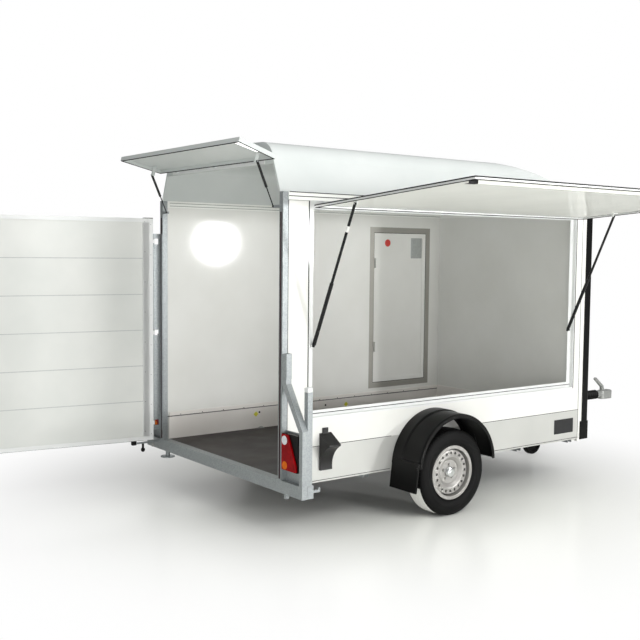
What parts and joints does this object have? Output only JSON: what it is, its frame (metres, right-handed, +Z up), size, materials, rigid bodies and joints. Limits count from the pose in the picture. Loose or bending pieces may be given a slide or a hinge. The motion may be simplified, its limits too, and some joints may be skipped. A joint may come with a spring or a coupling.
{
  "type": "box trailer",
  "caption": "Single-axle box trailer with moulded roof, side flap on struts, rear plank door and top flap, side door, tow coupling and jockey wheel.",
  "frame": {"origin": "centre of the tow ball socket in the coupling head", "axes": "+X forward along the drawbar, +Y to the left, +Z up"},
  "size_m": [6.3891, 3.4897, 2.624],
  "materials": {
    "galvanised_steel": "hot-dip galvanised",
    "zinc_steel": "zinc plated",
    "tyre_rubber": "matt",
    "rim_silver": "silver paint",
    "black_plastic": "moulded, grained",
    "jockey_rubber": "solid rubber on a steel hub",
    "phenolic_floor": "film-faced plywood",
    "white_panel": "white coated sandwich",
    "white_gelcoat": "gelcoat",
    "anodised_aluminium": "anodised",
    "stainless": "bright",
    "black_paint": "black enamel",
    "lamp_lens": "clear moulded",
    "led_cover": "diffusing"
  },
  "bodies": {
    "trailer": {"chassis_frame": "galvanised_steel", "rear_portal": "galvanised_steel", "prop_foot": "galvanised_steel", "axle_beam": "galvanised_steel", "mudguard_left": "black_plastic", "mudguard_right": "black_plastic", "chock_right": "black_plastic", "chock_left": "black_plastic", "drawbar": "galvanised_steel", "overrun_housing": "galvanised_steel", "gaiter": "black_plastic", "coupling_head": "zinc_steel", "coupling_handle": "zinc_steel", "brake_lever": "zinc_steel", "jockey_tube": "galvanised_steel", "floor_panel": "phenolic_floor", "skirt_left": "anodised_aluminium", "skirt_right": "anodised_aluminium", "left_wall": "white_panel", "right_wall": "white_panel", "front_wall": "white_panel", "side_frame": "anodised_aluminium", "corner_left": "black_plastic", "corner_right": "black_plastic", "roof_trim": "anodised_aluminium", "roof_hood": "white_gelcoat", "kick_strip": "anodised_aluminium", "rear_hinge_rail": "anodised_aluminium", "rear_door_hinges": "galvanised_steel", "side_hinge_rail": "anodised_aluminium", "side_door_frame": "anodised_aluminium", "side_door_hinges": "zinc_steel", "tail_lamp_left": "black_plastic", "tail_lamp_right": "black_plastic", "tail_lens_left": "lamp_lens", "tail_lens_right": "lamp_lens"},
    "wheel_left": {"tyre_left": "tyre_rubber", "rim_left": "rim_silver"},
    "wheel_right": {"tyre_right": "tyre_rubber", "rim_right": "rim_silver"},
    "jockey_caster": {"jockey_fork": "galvanised_steel"},
    "jockey_roller": {"jockey_wheel": "jockey_rubber"},
    "rear_top_flap": {"rear_flap": "white_gelcoat"},
    "rear_door": {"rear_door_planks": "white_panel", "rear_door_frame": "anodised_aluminium", "rear_door_lock": "stainless"},
    "side_flap": {"side_flap_panel": "white_panel", "side_flap_frame": "anodised_aluminium", "led_bar": "led_cover"},
    "side_door": {"side_door_leaf": "white_panel"},
    "side_cylinder_rear": {"side_cylinder_rear": "black_paint"},
    "side_rod_rear": {"side_rod_rear": "stainless"},
    "side_cylinder_front": {"side_cylinder_front": "black_paint"},
    "side_rod_front": {"side_rod_front": "stainless"},
    "rear_cylinder_right": {"rear_cylinder_right": "black_paint"},
    "rear_rod_right": {"rear_rod_right": "stainless"},
    "rear_cylinder_left": {"rear_cylinder_left": "black_paint"},
    "rear_rod_left": {"rear_rod_left": "stainless"}
  },
  "joints": [
    {"name": "wheel_left_roll", "type": "hinge", "parent": "trailer", "child": "wheel_left", "pos_m": [-3.27772, 1.0365, -0.1505], "axis": [0, 1, 0], "continuous": true},
    {"name": "wheel_right_roll", "type": "hinge", "parent": "trailer", "child": "wheel_right", "pos_m": [-3.27772, -1.0365, -0.1505], "axis": [0, 1, 0], "continuous": true},
    {"name": "jockey_swivel", "type": "hinge", "parent": "trailer", "child": "jockey_caster", "pos_m": [-1.079, 0, -0.215], "axis": [0, 0, 1], "continuous": true},
    {"name": "jockey_roll", "type": "hinge", "parent": "jockey_caster", "child": "jockey_roller", "pos_m": [-1.124, 0, -0.36], "axis": [0, 1, 0], "continuous": true},
    {"name": "rear_door_hinge", "type": "hinge", "parent": "trailer", "child": "rear_door", "pos_m": [-4.648, 0.862, 0.775], "axis": [0, 0, 1], "range_deg": [-70, 98]},
    {"name": "side_door_hinge", "type": "hinge", "parent": "trailer", "child": "side_door", "pos_m": [-1.732, 0.867, 0.911], "axis": [0, 0, -1], "range_deg": [0, 100]},
    {"name": "rear_flap_hinge", "type": "hinge", "parent": "trailer", "child": "rear_top_flap", "pos_m": [-4.602, 0, 2.021], "axis": [0, -1, 0], "range_deg": [0, 105]},
    {"name": "side_flap_hinge", "type": "hinge", "parent": "trailer", "child": "side_flap", "pos_m": [-3, -0.896, 1.749], "axis": [1, 0, 0], "range_deg": [0, 94.2]},
    {"name": "side_cylinder_rear_pin", "type": "hinge", "parent": "side_flap", "child": "side_cylinder_rear", "pos_m": [-4.33, -1.27159, 1.72745], "axis": [1, 0, 0], "range_deg": [-120, 1]},
    {"name": "side_rod_rear_slide", "type": "slide", "parent": "side_cylinder_rear", "child": "side_rod_rear", "axis": [0, -0.414, 0.9103], "range_m": [-0.001, 0.4445]},
    {"name": "side_cylinder_front_pin", "type": "hinge", "parent": "side_flap", "child": "side_cylinder_front", "pos_m": [-1.7, -1.27159, 1.72745], "axis": [1, 0, 0], "range_deg": [-120, 1]},
    {"name": "side_rod_front_slide", "type": "slide", "parent": "side_cylinder_front", "child": "side_rod_front", "axis": [0, -0.414, 0.9103], "range_m": [-0.001, 0.4445]},
    {"name": "rear_cylinder_right_pin", "type": "hinge", "parent": "rear_top_flap", "child": "rear_cylinder_right", "pos_m": [-4.71823, -0.743, 2.00452], "axis": [0, -1, 0], "range_deg": [-141, 1]},
    {"name": "rear_rod_right_slide", "type": "slide", "parent": "rear_cylinder_right", "child": "rear_rod_right", "axis": [-0.4043, 0, 0.9146], "range_m": [-0.001, 0.1159]},
    {"name": "rear_cylinder_left_pin", "type": "hinge", "parent": "rear_top_flap", "child": "rear_cylinder_left", "pos_m": [-4.71823, 0.743, 2.00452], "axis": [0, -1, 0], "range_deg": [-141, 1]},
    {"name": "rear_rod_left_slide", "type": "slide", "parent": "rear_cylinder_left", "child": "rear_rod_left", "axis": [-0.4043, 0, 0.9146], "range_m": [-0.001, 0.1159]}
  ],
  "couplings": [
    {"joint": "side_cylinder_rear_pin", "follows": "side_flap_hinge", "ratio": -1.2596},
    {"joint": "side_rod_rear_slide", "follows": "side_flap_hinge", "m_per_rad": 0.26974},
    {"joint": "side_cylinder_front_pin", "follows": "side_flap_hinge", "ratio": -1.2596},
    {"joint": "side_rod_front_slide", "follows": "side_flap_hinge", "m_per_rad": 0.26974},
    {"joint": "rear_cylinder_right_pin", "follows": "rear_flap_hinge", "ratio": -1.3273},
    {"joint": "rear_rod_right_slide", "follows": "rear_flap_hinge", "m_per_rad": 0.062679},
    {"joint": "rear_cylinder_left_pin", "follows": "rear_flap_hinge", "ratio": -1.3273},
    {"joint": "rear_rod_left_slide", "follows": "rear_flap_hinge", "m_per_rad": 0.062679}
  ]
}
